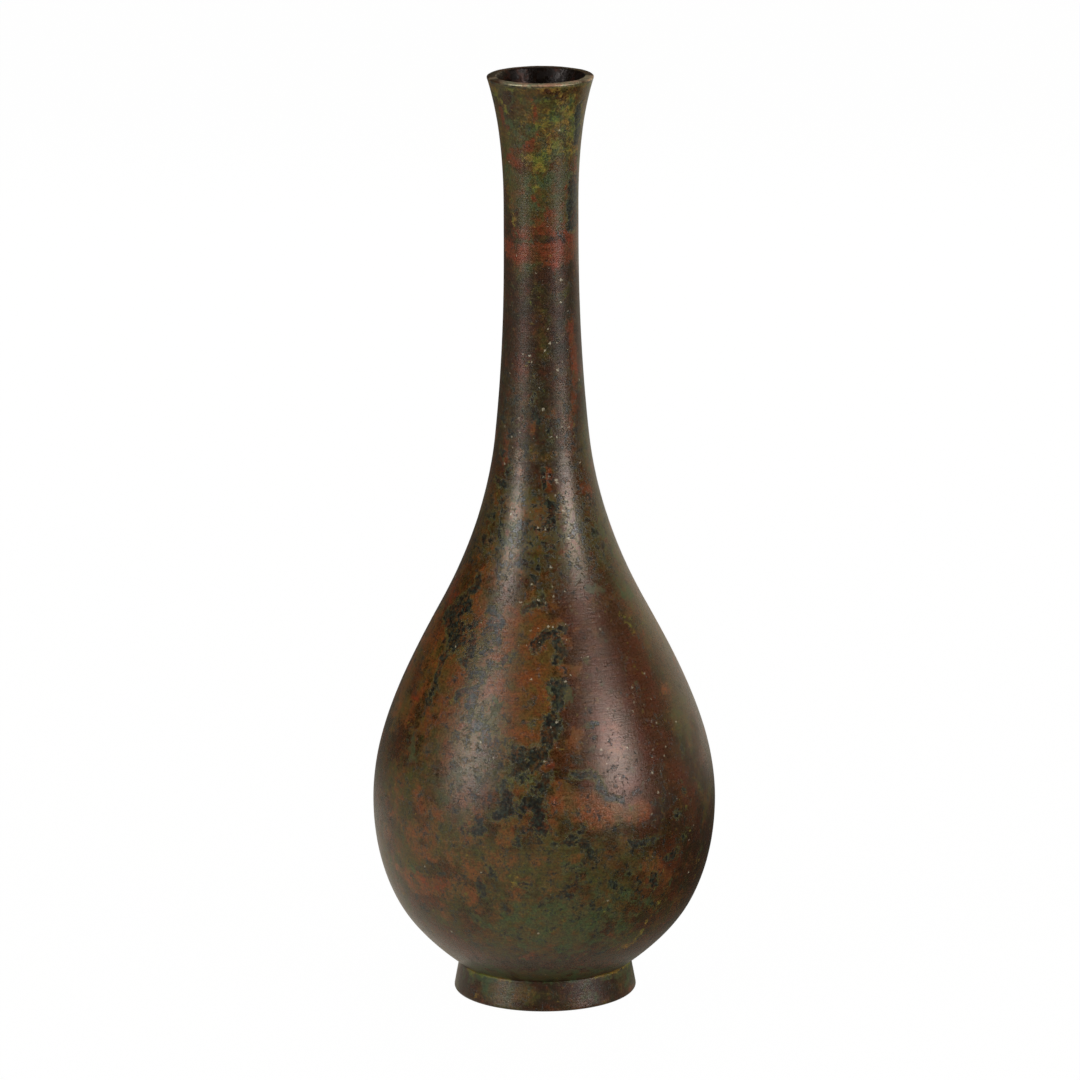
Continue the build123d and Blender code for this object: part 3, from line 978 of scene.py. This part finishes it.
def mix_shader(tree, share, under, over):
    """Shader node between two others."""
    return add(tree, "ShaderNodeMixShader", {0: share, 1: under.outputs[0], 2: over.outputs[0]})


def floor_material(studio):
    """White floor: plain to the light, white to the camera, and painted light to reflections on the sweep."""
    material = bpy.data.materials.new("white_floor")
    tree, path = empty_tree(material)
    plain = add(tree, "ShaderNodeBsdfDiffuse", {"Color": FLOOR_GREY})
    white = add(tree, "ShaderNodeEmission", {"Color": WHITE, "Strength": 1.0})
    seen = calculate(tree, "MULTIPLY", seen_by_camera(tree, path), studio.floor_lift)
    lifted = mix_shader(tree, seen, plain, white)
    position = tree.nodes.new("ShaderNodeTexCoord").outputs["Object"]
    split = add(tree, "ShaderNodeSeparateXYZ", {0: position}).outputs
    along = split["Y"]
    reach = add(tree, "ShaderNodeVectorMath", {0: position}, operation="LENGTH").outputs["Value"]
    near_edge = ramp(tree, along, low=-studio.sweep_fade, high=0.0, start=1.0, end=0.0)
    past_sweep = ramp(tree, reach, low=studio.sweep_front, high=studio.sweep_front + studio.sweep_fade)
    in_front = calculate(tree, "MULTIPLY", near_edge, past_sweep)
    # Painted light for reflections: the floor glows brighter behind on the left than near on the right, and
    # dim in front of the sweep.
    to_right = ramp(tree, split["X"], low=-0.05, high=0.1)
    to_left = calculate(tree, "SUBTRACT", 1.0, to_right)
    far_left = calculate(tree, "MULTIPLY", to_left, ramp(tree, along, low=0.05, high=0.4, end=0.7))
    near = ramp(tree, along, low=0.16, high=0.5, start=0.85, end=0.0)
    near_right = calculate(tree, "MULTIPLY", to_right, near)
    away = calculate(tree, "MAXIMUM", in_front, calculate(tree, "MAXIMUM", far_left, near_right))
    level = ramp(tree, away, low=0.0, high=1.0, start=studio.floor_shine, end=studio.front_level)
    shine = add(tree, "ShaderNodeEmission", {"Color": studio.floor_colour, "Strength": level})
    both = mix_shader(tree, path["Is Glossy Ray"], lifted, shine)
    add(tree, "ShaderNodeOutputMaterial", {"Surface": both.outputs[0]})
    return material


def set_world(studio):
    """White to the camera; to the metal, a white backdrop behind the bottle and a dim room in front of it."""
    world = bpy.data.worlds.new("studio")
    bpy.context.scene.world = world
    tree, path = empty_tree(world)
    aim = tree.nodes.new("ShaderNodeTexCoord").outputs["Generated"]
    backdrop_aim = (math.sin(studio.backdrop_turn), math.cos(studio.backdrop_turn), 0.0)
    facing = add(tree, "ShaderNodeVectorMath", {0: aim, 1: backdrop_aim}, operation="DOT_PRODUCT")
    level = ramp(
        tree, facing.outputs["Value"], low=0.72, high=0.96, start=studio.front_level, end=studio.back_level)
    level = mix_value(tree, path["Is Diffuse Ray"], level, studio.fill_level)
    room = add(tree, "ShaderNodeBackground", {"Color": studio.room_colour, "Strength": level})
    white = add(tree, "ShaderNodeBackground", {"Color": WHITE, "Strength": 1.0})
    both = mix_shader(tree, seen_by_camera(tree, path), room, white)
    add(tree, "ShaderNodeOutputWorld", {"Surface": both.outputs[0]})


class BOTTLE_OT_stage(bpy.types.Operator):
    """Make the floor, the light and the camera of the photograph's view"""

    bl_idname = "bottle.stage"
    bl_label = "Stage"

    def execute(self, context):
        scene, studio = context.scene, context.scene.bottle_studio
        bm = bmesh.new()
        bmesh.ops.create_circle(bm, cap_ends=True, segments=FLOOR_SEGMENTS, radius=FLOOR_RADIUS)
        mesh = bpy.data.meshes.new("floor")
        bm.to_mesh(mesh)
        bm.free()
        mesh.materials.append(floor_material(studio))
        floor = bpy.data.objects.new("floor", mesh)
        scene.collection.objects.link(floor)

        for side, lamp in SOFTBOXES.items():
            softbox(side + "_softbox", *lamp, getattr(studio, side + "_power"))
        set_world(studio)

        lens = bpy.data.cameras.new("camera")
        lens.lens = studio.lens
        lens.sensor_width = SENSOR_WIDTH
        lens.clip_end = CLIP_END
        camera = bpy.data.objects.new("camera", lens)
        level = math.pi / 2
        aim = Euler((level - studio.camera_pitch, 0, studio.camera_turn), "XYZ")
        roll = Euler((0, 0, -studio.camera_roll), "XYZ")
        camera.rotation_euler = (aim.to_matrix() @ roll.to_matrix()).to_euler()
        camera.location = (0, -studio.camera_distance, studio.camera_height)
        scene.collection.objects.link(camera)
        scene.camera = camera
        scene.view_settings.view_transform = "Standard"
        return {"FINISHED"}


class BOTTLE_PT_panel(bpy.types.Panel):
    """Sizes, colours and buttons for the bottle"""

    bl_idname = "BOTTLE_PT_panel"
    bl_label = "Bronze Bottle"
    bl_space_type = "VIEW_3D"
    bl_region_type = "UI"
    bl_category = "Bottle"

    def draw(self, context):
        scene = context.scene
        for operator in OPERATORS:
            self.layout.operator(operator.bl_idname)
        for settings in (scene.bottle_shape, scene.bottle_patina, scene.bottle_studio):
            box = self.layout.box()
            for title in settings.__annotations__:
                box.prop(settings, title)


SETTINGS = {"bottle_shape": BottleShape, "bottle_patina": BottlePatina, "bottle_studio": BottleStudio}
OPERATORS = (BOTTLE_OT_body, BOTTLE_OT_foot, BOTTLE_OT_plate, BOTTLE_OT_solder, BOTTLE_OT_stage)
CLASSES = (*SETTINGS.values(), *OPERATORS, BOTTLE_PT_panel)


def register():
    for made in CLASSES:
        bpy.utils.register_class(made)
    for title, settings in SETTINGS.items():
        setattr(bpy.types.Scene, title, PointerProperty(type=settings))


def unregister():
    for title in SETTINGS:
        delattr(bpy.types.Scene, title)
    for made in reversed(CLASSES):
        bpy.utils.unregister_class(made)


def main():
    register()
    bpy.ops.bottle.body()
    bpy.ops.bottle.foot()
    bpy.ops.bottle.plate()
    bpy.ops.bottle.solder()
    bpy.ops.bottle.stage()


if __name__ == "__main__":
    main()
